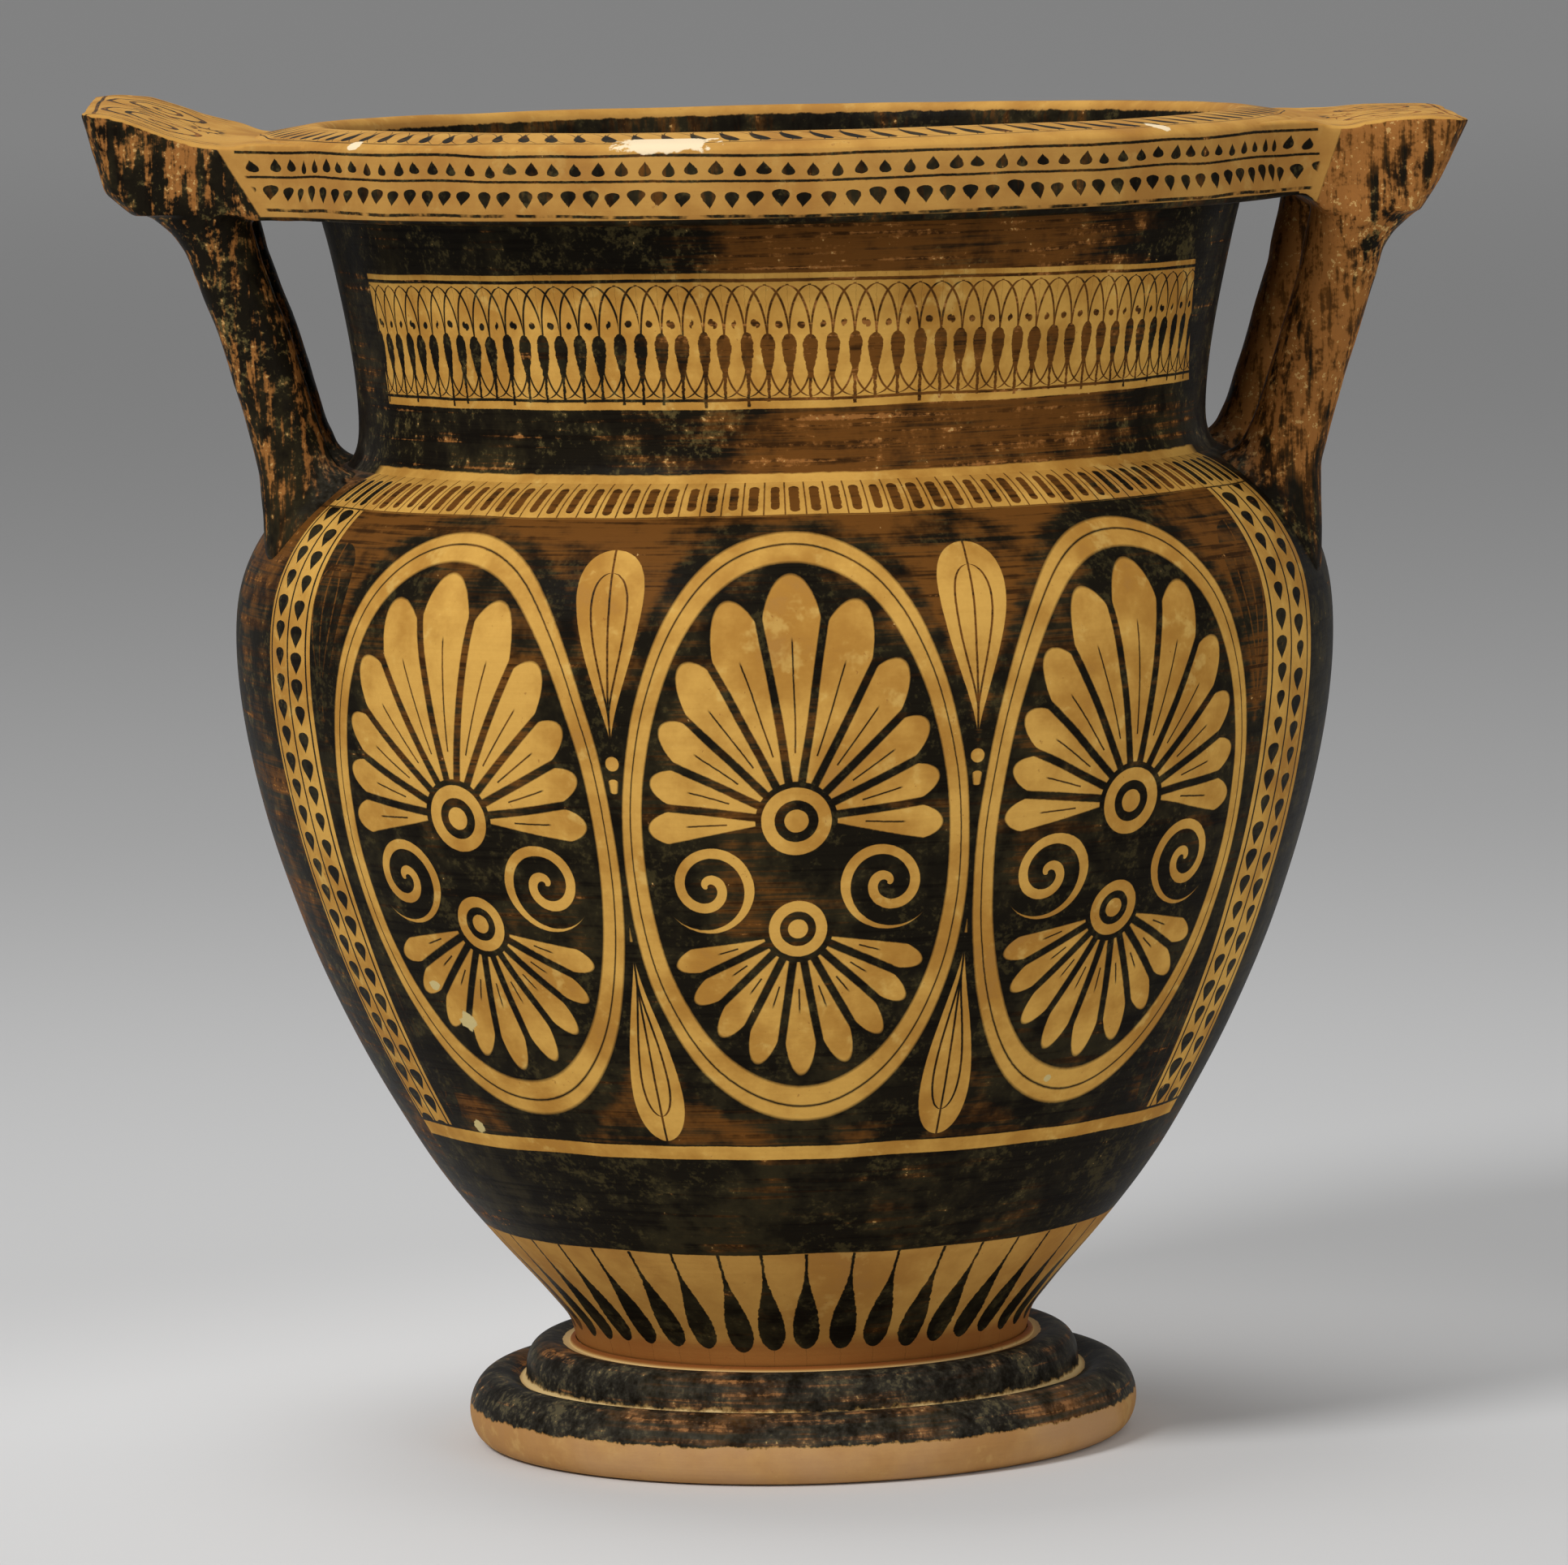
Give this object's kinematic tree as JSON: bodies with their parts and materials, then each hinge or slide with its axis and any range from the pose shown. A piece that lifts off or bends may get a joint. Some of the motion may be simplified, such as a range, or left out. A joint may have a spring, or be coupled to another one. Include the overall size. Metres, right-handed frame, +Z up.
{
  "type": "column krater",
  "caption": "Wide deep mixing bowl of painted clay with a stepped foot, an upright neck, an overhanging lip and plate handles carried by upright columns.",
  "frame": {"origin": "middle of the resting face, on the vessel's upright axis", "axes": "+Z up; the handles lie along +X and -X; the main picture panel faces -Y"},
  "size_m": [0.3756, 0.3028, 0.374],
  "materials": {
    "glaze": "satin black gloss with brown and olive tints, brushed on and worn",
    "clay": "burnished orange-ochre clay carrying painted ornament"
  },
  "bodies": {
    "root": {"foot": "glaze", "foot_joint": "clay", "bowl": "clay", "neck_joint": "glaze", "neck": "glaze", "lip": "clay", "plate_left": "clay", "column_left_front": "glaze", "column_left_back": "glaze", "plate_right": "clay", "column_right_front": "glaze", "column_right_back": "glaze"}
  },
  "joints": []
}
